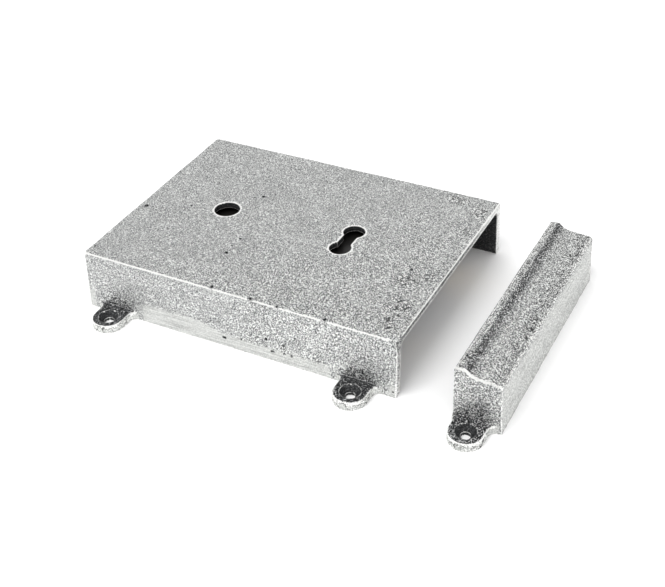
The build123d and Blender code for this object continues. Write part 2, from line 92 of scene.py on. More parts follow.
def merged_copy(node, name):
    """A CAD node's form as a new piece whose triangles share their corners."""
    piece = bpy.data.objects.new(name, frame["nodes"][node].data.copy())
    bpy.context.scene.collection.objects.link(piece)
    piece.data.materials.clear()
    take_up(piece)
    bpy.ops.object.mode_set(mode="EDIT")
    bpy.ops.mesh.select_all(action="SELECT")
    bpy.ops.mesh.remove_doubles(threshold=MERGE_DISTANCE)
    bpy.ops.object.mode_set(mode="OBJECT")
    return piece


def screw_holes(mount):
    """Places of the screw holes of one of the record's mounts, at the height of the ears' tops."""
    entry = next(entry for entry in frame["record"]["mounts"] if entry["name"] == mount)
    x, y, _ = entry["pos_m"]
    half_x = entry["dims"].get("spacing_x_mm", 0) / 2 * MM
    half_y = entry["dims"]["spacing_y_mm"] / 2 * MM
    return sorted({(x + a * half_x, y + b * half_y, EAR_HEIGHT) for a in (-1, 1) for b in (-1, 1)})


def corners_of(mesh):
    """Places and normals of a mesh's vertices."""
    places = np.empty(3 * len(mesh.vertices))
    normals = np.empty(3 * len(mesh.vertices))
    mesh.vertices.foreach_get("co", places)
    mesh.vertices.foreach_get("normal", normals)
    return places.reshape(-1, 3), normals.reshape(-1, 3)


def move_corners(mesh, places):
    """Moves a mesh's vertices to new places."""
    mesh.vertices.foreach_set("co", places.ravel())
    mesh.update()


def edge_ends(mesh):
    """The two vertices of each edge."""
    ends = np.empty(2 * len(mesh.edges), int)
    mesh.edges.foreach_get("vertices", ends)
    return ends.reshape(-1, 2).T


def neighbour_mean(ends, values):
    """Mean of a value over each vertex's neighbours."""
    a, b = ends
    count = len(values)
    total = np.bincount(a, values[b], count) + np.bincount(b, values[a], count)
    return total / np.maximum(np.bincount(a, minlength=count) + np.bincount(b, minlength=count), 1)


def curvature(mesh):
    """Bend of the skin at each vertex in 1/m: above 0 on outer corners, below 0 in inner ones."""
    places, normals = corners_of(mesh)
    ends = edge_ends(mesh)
    mean = np.stack([neighbour_mean(ends, places[:, axis]) for axis in range(3)], axis=1)
    sag = -np.einsum("ij,ij->i", normals, mean - places)
    squares = np.sum((places[ends[0]] - places[ends[1]])**2, axis=1)
    totals = np.bincount(ends[0], squares, len(places)) + np.bincount(ends[1], squares, len(places))
    counts = np.bincount(ends.ravel(), minlength=len(places))
    return 4 * sag * counts / totals


def nearest(points, places):
    """Distance of each point from the nearest of some places."""
    return np.min([np.linalg.norm(points - np.array(place), axis=1) for place in places], axis=0)


def spot_reach(points, spots):
    """Distance of each point from the nearest of some round spots, as a share of that spot's radius."""
    return np.min([np.linalg.norm(points - np.array(spot[:3]), axis=1) / spot[3] for spot in spots], axis=0)


def step_up(values, low, high):
    """Smooth step from 0 to 1 between two values; low above high steps down."""
    share = np.clip((values - low) / (high - low), 0, 1)
    return share * share * (3 - 2 * share)


# A cast skin: even squares, cut finer on rounded edges and on the ears. Bends are in 1/m.
SKIN_STEP = 1.35 * MM
REMESH_DEPTH = 8
ROUNDED_BEND = 150
EAR_PATCH = 15 * MM
RIM_PATCH = 1.3 * COUNTERSINK_RADIUS
FOOT_SKIN = 0.05 * MM


def even_skin(piece, step):
    """Rebuilds a casting's skin in even squares of about that step, with its corners kept."""
    share = min(max(piece.dimensions) / (2**REMESH_DEPTH * step), 0.99)
    apply_modifier(piece, "REMESH", mode="SHARP", octree_depth=REMESH_DEPTH, scale=share,
                   use_remove_disconnected=False, use_smooth_shade=True)


def refine(piece, chosen, cuts=1):
    """Cuts the squares round the chosen vertices smaller."""
    mesh = piece.data
    loops = np.empty(len(mesh.loops), int)
    starts = np.empty(len(mesh.polygons), int)
    mesh.loops.foreach_get("vertex_index", loops)
    mesh.polygons.foreach_get("loop_start", starts)
    near = np.maximum.reduceat(chosen[loops], starts)
    take_up(piece)
    bpy.ops.object.mode_set(mode="EDIT")
    bpy.ops.mesh.select_mode(type="FACE")
    bpy.ops.mesh.select_all(action="DESELECT")
    bpy.ops.object.mode_set(mode="OBJECT")
    mesh.polygons.foreach_set("select", near)
    bpy.ops.object.mode_set(mode="EDIT")
    bpy.ops.mesh.subdivide(number_cuts=cuts)
    bpy.ops.object.mode_set(mode="OBJECT")


def settle(piece, node):
    """Lays every vertex on the CAD node's own surface."""
    apply_modifier(piece, "SHRINKWRAP", target=frame["nodes"][node], wrap_method="NEAREST_SURFACEPOINT")


def fine_skin(piece, node, holes, step):
    """Gives a casting an even skin on the CAD node's form, finer on rounded edges and finest on the ears."""
    even_skin(piece, step)
    settle(piece, node)
    places, _ = corners_of(piece.data)
    refine(piece, (np.abs(curvature(piece.data)) > ROUNDED_BEND) | (nearest(places, holes) < EAR_PATCH))
    settle(piece, node)
    places, normals = corners_of(piece.data)
    arris = (curvature(piece.data) > 2 * ROUNDED_BEND) & (normals[:, 2] > 0.2) & (normals[:, 2] < 0.98)
    arris &= places[:, 2] > ABOVE_EARS
    refine(piece, arris | (nearest(places, holes) < RIM_PATCH))
    settle(piece, node)


def roughen(piece, name, spacing, height):
    """Moves a skin in and out by a cloud pattern of that spacing, but leaves the foot flat."""
    foot = corners_of(piece.data)[0][:, 2] < FOOT_SKIN
    pattern = bpy.data.textures.new(name, "CLOUDS")
    pattern.noise_scale = spacing
    pattern.noise_depth = 2
    apply_modifier(piece, "DISPLACE", texture=pattern, texture_coords="LOCAL", strength=height,
                   mid_level=0.5)
    places, _ = corners_of(piece.data)
    places[:, 2] = np.where(foot, 0, np.maximum(places[:, 2], 0))
    move_corners(piece.data, places)


# Round marks: black gas pits, and scabs where the mould's sand broke away and left the skin coarser.
# Each is x, y and radius in mm on the top, and x, z and radius in mm on the near wall. PIT_PATCH is the
# part round a pit that has smaller squares, as a share of its radius.
TOP_PITS_MM = [(-107.2, -12.9, 1.5), (-36.9, -60.3, 1.4), (-15.5, -61.1, 1.2), (-55.2, 19.9, 1.2),
               (43, -8.9, 1.1), (23.3, -60.9, 1.2), (52.5, -44.3, 1.1), (-45.7, -33.1, 1.2),
               (-45.8, -19.6, 0.9), (51.7, -54.4, 0.9), (48.1, -34.7, 1), (-85.4, -3.3, 0.8),
               (-1.4, -61.5, 0.8)]
WALL_PITS_MM = [(-31.4, 5, 0.8), (-30.4, 5, 0.8), (-4.6, 5.4, 0.8), (-3.6, 5.4, 0.8), (2.3, 6, 0.9),
                (3.2, 6, 0.9), (4.2, 6, 0.8), (5.2, 5.9, 0.8), (6.2, 5.9, 0.8), (-7.2, 11.7, 0.9)]
TOP_SCABS_MM = [(44.5, -18, 9), (50.5, -38, 10), (51, -52, 9), (53.5, -12, 7), (54, 31, 6), (55, 51, 7),
                (40, 58, 8)]
WALL_SCABS_MM = [(-21, 10, 4), (-14, 10, 5), (-6, 11, 6), (3, 10, 5), (11, 9, 4), (20, 9, 4)]
PIT_DEPTH = 0.6 * MM
PIT_PATCH = 1.3
PIT_CUTS = 3


def top_spots(spots_mm, height):
    """Round spots on a casting's top."""
    return [(x * MM, y * MM, height, radius * MM) for x, y, radius in spots_mm]


def wall_spots(spots_mm, wall):
    """Round spots on an upright wall, whose vertices give their depth."""
    spots = []
    for x, z, radius in spots_mm:
        closest = np.argmin(np.hypot(wall[:, 0] - x * MM, wall[:, 2] - z * MM))
        spots.append((x * MM, wall[closest, 1], z * MM, radius * MM))
    return spots


def dent(piece, pits):
    """Presses round gas pits into a casting's skin."""
    places, normals = corners_of(piece.data)
    depth = PIT_DEPTH * step_up(spot_reach(places, pits), 1, 0)
    move_corners(piece.data, places - depth[:, None] * normals)


# Wear and painted shade: the patina stays on the ears; what is closed in, the wall above the ears and the
# inside are darkened as patina and painted shade.
# The stored values run from 0 to 1. Past 1 a mark wins over the stains, and below 0 the grain is calmer.
CLOSED_IN_REACH = 9 * MM
CLOSED_IN_LOOKS = 48
LOOK_START = 0.3 * MM
GRAZING = 0.1


def store(mesh, name, values):
    """Keeps a value on each vertex for the material."""
    layer = mesh.attributes.new(name, "FLOAT", "POINT")
    layer.data.foreach_set("value", values.astype(np.float32))


def evened(ends, values):
    """A value evened out with the vertices next to each."""
    return (values + neighbour_mean(ends, values)) / 2


def closed_in(piece):
    """How closed in each vertex is, from 0 to 1, and whether it faces another part of its piece."""
    places, normals = corners_of(piece.data)
    turn = math.pi * (3 - math.sqrt(5))
    numbers = np.arange(CLOSED_IN_LOOKS)
    rise = 1 - (2 * numbers + 1) / CLOSED_IN_LOOKS
    flat = np.sqrt(1 - rise**2)
    sides = np.stack([flat * np.cos(turn * numbers), flat * np.sin(turn * numbers), rise], axis=1)
    looks = [Vector(side) for side in sides]
    tree = BVHTree.FromObject(piece, bpy.context.evaluated_depsgraph_get())
    weights = np.clip(normals @ sides.T - GRAZING, 0, None)
    hidden = np.zeros(len(places))
    faces_itself = np.zeros(len(places), bool)
    for index, start in enumerate(places + LOOK_START * normals):
        origin = Vector(start)
        level = Vector(normals[index]) * Vector((1, 1, 0))
        faces_itself[index] = level.length > 0.7 and tree.ray_cast(origin, level)[0] is not None
        for which in np.flatnonzero(weights[index]):
            distance = tree.ray_cast(origin, looks[which], CLOSED_IN_REACH)[3]
            if distance is not None:
                hidden[index] += weights[index, which] * (1 - distance / CLOSED_IN_REACH)
    return hidden / weights.sum(axis=1), faces_itself


# Limits of a normal's rise, and how much of its skin is closed in where the darkening, patina and painted
# shade, starts and is full.
FACING_UP = 0.75
FACING_DOWN = -0.7
UPRIGHT = 0.4
DARKENING_START = 0.08
DARKENING_FULL = 0.38
# The ears, their countersinks with a ring rubbed bare, and the dark root on the wall above each, which is
# patina and painted shade.
EAR_SKIN = 0.6 * MM
EAR_NECK = 11.5 * MM
EAR_PATINA = 0.9
EAR_SIDE_SMOOTHNESS = 0.85
SUNK_RIM = 0.2 * MM
RING_WIDTH = 0.45 * MM
RING_PALENESS = 0.45
RING_SHINE = 0.5
ROOT_MIDDLE = 6 * MM
ROOT_OUTER = 16 * MM
ROOT_INNER = 8.5 * MM
ROOT_FLATTENING = 1.3
ROOT_DARKENING = 0.4
ROOT_COARSENESS = 1.6
# Corners, pits and scabs. The bend is in 1/m, and CALM is the grain of countersinks and insides.
BRIGHT_BEND = 340
PIT_PATINA = 1.4
SCAB_COARSENESS = 1.3
CALM = -0.4


def weather_and_painted_light(piece, holes, ground, grit, scabs, pits, darkening, worn_and_highlight):
    """Stores where a casting is burnished, patinated, ground smooth and coarse, and where light and shade
    are painted on it.
    """
    mesh = piece.data
    places, normals = corners_of(mesh)
    ends = edge_ends(mesh)
    height = places[:, 2]
    up = normals[:, 2]
    closed, faces_itself = closed_in(piece)
    from_hole = nearest(places * [1, 1, 0], [(x, y, 0) for x, y, _ in holes])
    ear = (height < EAR_HEIGHT + EAR_SKIN) & (from_hole < EAR_PATCH)
    ear_top = ear & (up > FACING_UP) & (height > 0.7 * EAR_HEIGHT)
    sunk = ear & (from_hole < COUNTERSINK_RADIUS + SUNK_RIM)
    ear_side = ear & (up < UPRIGHT) & ~sunk
    ring = ear_top * step_up(np.abs(from_hole - COUNTERSINK_RADIUS), RING_WIDTH, 0)
    root_middles = [(x, y, ROOT_MIDDLE) for x, y, _ in holes]
    root = step_up(nearest(places * [1, 1, ROOT_FLATTENING], root_middles), ROOT_OUTER, ROOT_INNER)
    root *= np.abs(up) < UPRIGHT
    # The underside of the roof and the faces that look at the piece itself are painted dark: the casting's
    # dark skin and painted shade.
    ceiling = (up < FACING_DOWN) & (height > ABOVE_EARS)
    inside = (faces_itself & (from_hole > EAR_NECK)) | ceiling
    in_dark_mark = PIT_PATINA * step_up(spot_reach(places, pits), 1, 0.5)
    # Closed-in places are darkened as patina and painted shade.
    patina_and_shade = np.maximum.reduce([
        step_up(closed, DARKENING_START, DARKENING_FULL), 1.0 * inside, EAR_PATINA * (ear_top | sunk), in_dark_mark,
        ROOT_DARKENING * root * (height > EAR_HEIGHT), darkening])
    patina_and_shade -= RING_PALENESS * ring
    middle_of_bend = step_up(np.abs(normals).max(axis=1), 0.99, 0.88)
    arris = np.clip(curvature(mesh) / BRIGHT_BEND, 0, 1) * middle_of_bend * (1 - np.minimum(darkening, 1))
    in_scab = SCAB_COARSENESS * step_up(spot_reach(places, scabs), 1, 0.3)
    coarse = np.maximum.reduce([in_scab, ROOT_COARSENESS * root, grit])
    smooth = np.maximum(~inside * ground(places, normals, from_hole), EAR_SIDE_SMOOTHNESS * ear_side)
    # The burnished values also hold the painted highlight on the cover's mouth face.
    store(mesh, "burnished", np.maximum.reduce([arris, RING_SHINE * ring, worn_and_highlight]))
    store(mesh, "patina_and_shade", evened(ends, patina_and_shade))
    # The ground values also hold the painted reflection on the cover's rim.
    store(mesh, "ground", evened(ends, smooth))
    store(mesh, "coarse", np.where(sunk | inside, CALM, coarse))


# Ground on a belt: a band along the foot of the long walls, which rises to the left.
# The mouth's rim is paler towards the far side, as a painted reflection of the white paper.
BAND_TOP = 7.2 * MM
BAND_FADE = 2.5 * MM
BAND_RISE = 3.5 * MM
BAND_RISE_START = -30 * MM
BAND_RISE_END = -45 * MM
BAND_FROM_HOLE = 17 * MM
RIM_SKIN = 0.5 * MM
RIM_REFLECTION = 0.9
RIM_REFLECTION_START = -75 * MM
RIM_REFLECTION_FULL = 45 * MM


def cover_ground(places, normals, from_hole):
    """How smooth the belt ground each vertex, and how pale the rim's painted reflection makes it, from 0 to
    1.
    """
    x, y, z = places.T
    rise = BAND_RISE * step_up(x, BAND_RISE_START, BAND_RISE_END)
    band = step_up(z - BAND_TOP - rise, BAND_FADE, -BAND_FADE)
    band *= (np.abs(normals[:, 1]) > 0.7) & (from_hole > BAND_FROM_HOLE)
    # The mouth's rim: paler towards the far side, a painted reflection of the white paper.
    rim = (normals[:, 0] > 0.85) & (x > x.max() - RIM_SKIN)
    return np.maximum(band, RIM_REFLECTION * rim * step_up(y, RIM_REFLECTION_START, RIM_REFLECTION_FULL))


# Rubbed bare: a ring round the spindle hole and the keyhole, which lie in this part of the top.
HOLES_MIDDLE_X = -30 * MM
HOLES_HALF_LENGTH = 60 * MM
HOLES_HALF_WIDTH = 30 * MM
HOLE_WALL_HEIGHT = 2 * MM
HOLE_RING_WIDTH = 1.3 * MM


def hole_rings(places, normals):
    """How bare the rings are at each vertex, from 0 to 1."""
    x, y, z = places.T
    by_holes = (np.abs(x - HOLES_MIDDLE_X) < HOLES_HALF_LENGTH) & (np.abs(y) < HOLES_HALF_WIDTH)
    by_holes &= z > COVER_TOP - HOLE_WALL_HEIGHT
    walls = places[by_holes & (np.abs(normals[:, 2]) < 0.6)]
    tree = KDTree(len(walls))
    for number, wall in enumerate(walls):
        tree.insert((wall[0], wall[1], 0), number)
    tree.balance()
    from_wall = np.ones(len(places))
    for number in np.flatnonzero(by_holes & (normals[:, 2] > 0.5)):
        from_wall[number] = tree.find((x[number], y[number], 0))[2]
    return step_up(from_wall, HOLE_RING_WIDTH, 0.5 * HOLE_RING_WIDTH)


# The cover's form and its own wear: the near corner of the mouth is worn and bare, the arris of the mouth is
# rubbed, its face has a painted highlight, a painted shadow line runs under the arris, darker towards the
# near side, and the grain grows coarser towards the mouth.
EDGE_ZONE = 3 * MM
WORN_DEPTH = 1.8 * MM
WORN_REACH = 7 * MM
BARE_OUTER = 4.5 * MM
BARE_INNER = 2.5 * MM
MOUTH_LINE_DROP = 1.0 * MM
MOUTH_LINE_WIDTH = 0.9 * MM
MOUTH_LINE_DEPTH = 1.5 * MM
MOUTH_LINE_START = 50 * MM
MOUTH_LINE_FULL = 15 * MM
MOUTH_LINE_FAR = 0.4
MOUTH_LINE_GAIN = 0.9
CORNER_GAP = 3 * MM
CORNER_GAP_END = 8 * MM
MOUTH_ARRIS_DEPTH = 0.7 * MM
MOUTH_ARRIS_DROP = 0.5 * MM
MOUTH_FACE_DEPTH = 0.3 * MM
CORNER_SHINE = 0.75
ARRIS_SHINE = 0.85
FACE_HIGHLIGHT = 0.5
HOLE_RING_SHINE = 0.9
TOP_GRIT = 0.5
TOP_GRIT_START = -30 * MM
TOP_GRIT_FULL = 70 * MM
WALL_GRIT = 0.6
WALL_GRIT_START = -60 * MM
WALL_CALM = -0.3
WAVE_SPACING = 24 * MM
WAVE_HEIGHT = 0.45 * MM
cover = merged_copy("cover", "cover_casting")
cover_holes = screw_holes("cover_screw_holes")
fine_skin(cover, "cover", cover_holes, SKIN_STEP)
places, normals = corners_of(cover.data)
near_wall = places[normals[:, 1] < -0.9]
cover_pits = top_spots(TOP_PITS_MM, COVER_TOP) + wall_spots(WALL_PITS_MM, near_wall)
cover_scabs = top_spots(TOP_SCABS_MM, COVER_TOP) + wall_spots(WALL_SCABS_MM, near_wall)
refine(cover, spot_reach(places, cover_pits) < PIT_PATCH, cuts=PIT_CUTS)
places, normals = corners_of(cover.data)
x, y, z = places.T
mouth = x.max()
near_side = y[z > COVER_TOP - EDGE_ZONE].min()
worn_corner = (mouth, near_side, COVER_TOP)
wear = WORN_DEPTH * step_up(nearest(places, [worn_corner]), WORN_REACH, 0)
places += wear[:, None] * np.array((-1, 1, -1))
move_corners(cover.data, places)
top_grit = TOP_GRIT * step_up(x - y, TOP_GRIT_START, TOP_GRIT_FULL)
wall_grit = WALL_CALM + WALL_GRIT * step_up(x, WALL_GRIT_START, 0)
cover_grit = np.where(normals[:, 1] < -0.7, wall_grit, top_grit)
on_ears = (z < 1.2 * EAR_HEIGHT) & (normals[:, 2] > 0.7)
cover_grit = np.where(on_ears, 0.5 * CALM, cover_grit)
# A painted shadow line under the mouth's arris, darker towards the near side.
mouth_shade_line = step_up(np.abs(z - COVER_TOP + MOUTH_LINE_DROP), MOUTH_LINE_WIDTH, 0)
mouth_shade_line *= (x > mouth - MOUTH_LINE_DEPTH) & (normals[:, 0] > 0.5)
mouth_shade_line *= MOUTH_LINE_FAR + MOUTH_LINE_GAIN * step_up(y, MOUTH_LINE_START, MOUTH_LINE_FULL)
mouth_shade_line *= step_up(y, near_side + CORNER_GAP, near_side + CORNER_GAP_END)
mouth_arris = (x > mouth - MOUTH_ARRIS_DEPTH) & (z > COVER_TOP - MOUTH_ARRIS_DROP)
# A painted highlight on the mouth's face, which faces away from the lamp.
mouth_face_highlight = (x > mouth - MOUTH_FACE_DEPTH) * (1 - np.minimum(mouth_shade_line, 1))
bare_corner = step_up(nearest(places, [worn_corner]), BARE_OUTER, BARE_INNER)
cover_worn_and_highlight = np.maximum.reduce([
    CORNER_SHINE * bare_corner, ARRIS_SHINE * mouth_arris, FACE_HIGHLIGHT * mouth_face_highlight,
    HOLE_RING_SHINE * hole_rings(places, normals)])
weather_and_painted_light(cover, cover_holes, cover_ground, cover_grit, cover_scabs, cover_pits, mouth_shade_line, cover_worn_and_highlight)
roughen(cover, "pattern_waves", WAVE_SPACING, WAVE_HEIGHT)
dent(cover, cover_pits)
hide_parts("cover")
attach(cover, "cover")


def linear(code):
    """An sRGB hex colour as the linear RGBA that a socket takes."""
    channels = [int(code[i:i + 2], 16) / 255 for i in (0, 2, 4)]
    return [c / 12.92 if c <= 0.04045 else ((c + 0.055) / 1.055)**2.4 for c in channels] + [1]


def add_node(tree, kind, inputs=(), stops=(), output=0, **settings):
    """Adds a shader node and gives back an output; its inputs are numbers, hex colours or other outputs."""
    node = tree.nodes.new("ShaderNode" + kind)
    for key, value in settings.items():
        setattr(node, key, value)
    for key, value in dict(inputs).items():
        if isinstance(value, bpy.types.NodeSocket):
            tree.links.new(value, node.inputs[key])
        else:
            node.inputs[key].default_value = linear(value) if isinstance(value, str) else value
    while stops and len(node.color_ramp.elements) < len(stops):
        node.color_ramp.elements.new(1.0)
    for number, (place, colour) in enumerate(stops):
        node.color_ramp.elements[number].position = place
        node.color_ramp.elements[number].color = linear(colour)
    return node.outputs[output] if len(node.outputs) else node


def new_material(name):
    """A material and its empty node tree."""
    material = bpy.data.materials.new(name)
    material.use_nodes = True
    material.node_tree.nodes.clear()
    return material, material.node_tree


# Patinated iron, with painted light. The sand gives the skin a salt-and-pepper grain, lighter where the
# wheel touched and dark in the hollows, with single black pits. Outer corners are rubbed bright; inner and
# closed-in ones are nearly black, as patina and painted shade.
# Spacings are in mm. The sand and the belt's marks are drawn about twice as coarse as the real ones, 0.3 and
# 0.4 mm, so that they show. On a Mix node of colours, inputs 6 and 7 are the colours and output 2 their mix.
SAND_GRAIN = 0.58
SAND_LUMP = 0.4
STAIN_SIZE = 11.0
PIT_SPACING = 4.2
SPARK_SPACING = 3.1
VEIN_SPACING = 4.5
BELT_MARK_ALONG = 16
BELT_MARK_ACROSS = 0.9
iron, tree = new_material("patinated_iron_with_painted_light")
where = add_node(tree, "TexCoord", output="Object")
burnished, patina_and_shade, ground, coarse = (add_node(tree, "Attribute", output="Fac", attribute_name=name)
                                     for name in ("burnished", "patina_and_shade", "ground", "coarse"))
sand = add_node(tree, "TexVoronoi", {"Vector": where, "Scale": 1000 / SAND_GRAIN})
sand_stretch = add_node(tree, "MapRange", {"Value": sand, "From Min": 0.18, "From Max": 0.85})
lumps = add_node(tree, "TexVoronoi", {"Vector": where, "Scale": 1000 / SAND_LUMP}, output="Color")
lump_shade = add_node(tree, "SeparateColor", {"Color": lumps})
stains = add_node(tree, "TexNoise", {"Vector": where, "Scale": 1000 / STAIN_SIZE, "Detail": 4.0})
grain = add_node(tree, "Mix", {0: 0.32, 2: sand_stretch, 3: lump_shade})
centred = add_node(tree, "Math", {0: grain, 1: 0.5}, operation="SUBTRACT")
strength = add_node(tree, "Math", {0: coarse, 1: 1.55, 2: 1.15}, operation="MULTIPLY_ADD")
stain_shift = add_node(tree, "Math", {0: stains, 1: 0.15, 2: 0.415}, operation="MULTIPLY_ADD")
shade = add_node(tree, "Math", {0: centred, 1: strength, 2: stain_shift}, operation="MULTIPLY_ADD")
grain_colour = add_node(tree, "ValToRGB", {"Fac": shade}, stops=[
    (0.05, "303132"), (0.22, "747576"), (0.36, "A0A1A1"), (0.50, "BBBCBC"), (0.64, "D1D2D1"),
    (0.85, "F2F3F1")])

# Where the belt ground it: paler, with faint marks along the belt's way.
belt_scale = (1000 / BELT_MARK_ALONG, 1000 / BELT_MARK_ALONG, 1000 / BELT_MARK_ACROSS)
belt_way = add_node(tree, "Mapping", {"Vector": where, "Scale": belt_scale})
belt_marks = add_node(tree, "TexNoise", {"Vector": belt_way, "Scale": 1.0, "Detail": 2.0})
ground_shade = add_node(tree, "Mix", {0: 0.3, 2: belt_marks, 3: shade})
ground_colour = add_node(tree, "ValToRGB", {"Fac": ground_shade}, stops=[
    (0.25, "A2A3A1"), (0.50, "CFD0CE"), (0.75, "EAEBE8")])
ground_reach = add_node(tree, "Math", {0: centred, 1: 0.25, 2: ground}, operation="MULTIPLY_ADD")
calm = add_node(tree, "MapRange", {"Value": ground_reach, "From Min": 0.3, "From Max": 0.8})
speckled = add_node(tree, "Mix", {0: calm, 6: grain_colour, 7: ground_colour}, output=2, data_type="RGBA")

# Where the patina stayed, and where shade is painted in closed-in places, inside and under the mouth's
# arris: nearly black, with the sand's tips rubbed through.
patina_and_shade_colour = add_node(tree, "ValToRGB", {"Fac": shade}, stops=[
    (0.25, "101112"), (0.50, "343536"), (0.66, "5A5B5C"), (0.84, "868788"), (1.0, "DADADA")])
stain_and_shade_reach = add_node(tree, "Math", {0: stains, 1: 0.5, 2: patina_and_shade}, operation="MULTIPLY_ADD")
patina_and_shade_share = add_node(tree, "MapRange", {"Value": stain_and_shade_reach, "From Min": 0.5, "From Max": 0.95})
patinated_and_shaded = add_node(tree, "Mix", {0: patina_and_shade_share, 6: speckled, 7: patina_and_shade_colour}, output=2, data_type="RGBA")

# Hollows: small pits by chance, the large gas pits, and winding marks where the skin is coarse. The painted
# shadow line under the mouth's arris takes the large pits' black.
pits = add_node(tree, "TexVoronoi", {"Vector": where, "Scale": 1000 / PIT_SPACING})
pit_chance = add_node(tree, "SeparateColor", {"Color": pits.node.outputs["Color"]})
pit_size = add_node(tree, "MapRange", {"Value": pit_chance, "From Min": 0.75, "To Max": 0.17})
pit_depth = add_node(tree, "Math", {0: pit_size, 1: pits}, operation="SUBTRACT")
small_pit = add_node(tree, "MapRange", {"Value": pit_depth, "From Max": 0.06})
pit_and_shade_line = add_node(tree, "MapRange", {"Value": patina_and_shade, "From Min": 1.0, "From Max": 1.3})
veins = add_node(tree, "TexNoise", {"Vector": where, "Scale": 1000 / VEIN_SPACING, "Detail": 1.0})
vein_side = add_node(tree, "Math", {0: veins, 1: 0.5}, operation="SUBTRACT")
from_vein = add_node(tree, "Math", {0: vein_side}, operation="ABSOLUTE")
vein_width = add_node(tree, "MapRange", {"Value": coarse, "From Min": 0.5, "From Max": 1.2, "To Max": 0.03})
vein_depth = add_node(tree, "Math", {0: vein_width, 1: from_vein}, operation="SUBTRACT")
in_vein = add_node(tree, "MapRange", {"Value": vein_depth, "From Max": 0.016, "To Max": 0.85})
pits_and_shade_line = add_node(tree, "Math", {0: small_pit, 1: pit_and_shade_line}, operation="MAXIMUM")
in_dark_mark = add_node(tree, "Math", {0: pits_and_shade_line, 1: in_vein}, operation="MAXIMUM")
pitted_and_shade_lined = add_node(tree, "Mix", {0: in_dark_mark, 6: patinated_and_shaded, 7: "161718"}, output=2, data_type="RGBA")

# Bright metal: single sand tips that the wheel caught, the rubbed corners, and a painted highlight on the
# mouth's face.
sparks = add_node(tree, "TexVoronoi", {"Vector": where, "Scale": 1000 / SPARK_SPACING})
spark_chance = add_node(tree, "SeparateColor", {"Color": sparks.node.outputs["Color"]})
spark_size = add_node(tree, "MapRange", {"Value": spark_chance, "From Min": 0.8, "To Max": 0.15})
spark_room = add_node(tree, "Math", {0: patina_and_shade, 1: 0.2, 2: sparks}, operation="MULTIPLY_ADD")
spark_depth = add_node(tree, "Math", {0: spark_size, 1: spark_room}, operation="SUBTRACT")
in_spark = add_node(tree, "MapRange", {"Value": spark_depth, "From Max": 0.05})
sparkled = add_node(tree, "Mix", {0: in_spark, 6: pitted_and_shade_lined, 7: "FAFAF8"}, output=2, data_type="RGBA")
swing = add_node(tree, "Math", {0: centred, 1: strength}, operation="MULTIPLY")
rub = add_node(tree, "Math", {0: swing, 1: 0.45, 2: burnished}, operation="MULTIPLY_ADD")
clean_rub = add_node(tree, "Math", {0: rub, 1: pit_and_shade_line}, operation="SUBTRACT")
shine = add_node(tree, "MapRange", {"Value": clean_rub, "From Min": 0.4, "From Max": 0.7, "To Max": 0.95})
iron_colour = add_node(tree, "Mix", {0: shine, 6: sparkled, 7: "FDFDFB"}, output=2, data_type="RGBA")
relief_height = add_node(tree, "Math", {0: grain, 1: in_dark_mark}, operation="SUBTRACT")
relief_share = add_node(tree, "MapRange", {"Value": calm, "To Min": 0.7, "To Max": 0.15})
relief = add_node(tree, "Bump", {"Height": relief_height, "Strength": relief_share, "Distance": 0.2 * MM})
roughness = add_node(tree, "MapRange", {"Value": shine, "To Min": 0.52, "To Max": 0.4})
metallic = add_node(tree, "MapRange", {"Value": patina_and_shade_share, "To Min": 0.9, "To Max": 0.45})
surface = add_node(tree, "BsdfPrincipled", {
    "Base Color": iron_colour, "Roughness": roughness, "Specular IOR Level": 0.3, "Metallic": metallic,
    "Normal": relief})
add_node(tree, "OutputMaterial", {"Surface": surface})
cover.data.materials.append(iron)

# Keep: the shorter casting on the door frame that catches both bolts.
# Same iron and finish as the cover, its outer side ground smooth on a belt.
# It is screwed to the frame by two ears, with its open side towards the lock.
KEEP_TOP = 27 * MM
KEEP_SKIN_STEP = 1.1 * MM
KEEP_GRIT = 0.5
KEEP_GROUND = 0.68
KEEP_GROUND_FADE = 5 * MM
KEEP_SCABS_MM = [(91, -55, 8), (91, 20, 6)]
KEEP_PITS_MM = [(108.5, -30, 1.1), (106, -68, 1.1)]
COVE_START = 2.6 * MM
COVE_DEEP_START = 4.0 * MM
COVE_DEEP_END = 5.8 * MM
COVE_END = 9 * MM
COVE_DARKENING = 0.68
BACK_WALL_START = 5 * MM
BACK_WALL_DARKENING = 0.9
OUTER_ARRIS_DROP = 2 * MM
OUTER_ARRIS_DARKENING = 0.4
LIP_LINE = 0.5 * MM
LIP_LINE_DARKENING = 0.9
LIP_LINE_RISE = 1.5 * MM
LIP_SHINE = 0.6
LIP_SHINE_RISE = 2.5 * MM
LIP_COARSE_FULL = 2 * MM
LIP_COARSE_END = 4 * MM
OUTER_COARSE_START = 13 * MM
OUTER_COARSE_FULL = 17 * MM
END_ZONE = 1.5 * MM
END_EDGE_WIDTH = 1.8 * MM
END_SPOT_X = 101 * MM
END_SPOT_RADIUS = 9 * MM
END_SPOT_DARKENING = 0.6
KEEP_WAVE_SPACING = 18 * MM


def keep_ground(places, normals, from_hole):
    """Ground smooth: the outer side, fading out towards its top corner."""
    outer_side = normals[:, 0] > 0.75
    return KEEP_GROUND * outer_side * step_up(places[:, 2], KEEP_TOP, KEEP_TOP - KEEP_GROUND_FADE)


keep = merged_copy("keep", "keep_casting")
keep_holes = screw_holes("keep_screw_holes")
keep_pits = top_spots(KEEP_PITS_MM, KEEP_TOP)
keep_scabs = top_spots(KEEP_SCABS_MM, KEEP_TOP)
fine_skin(keep, "keep", keep_holes, KEEP_SKIN_STEP)
places, normals = corners_of(keep.data)
x, y, height = places.T
up = normals[:, 2]
from_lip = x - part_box("keep")[0][0]
keep_end = y[height > KEEP_TOP - END_ZONE].min()
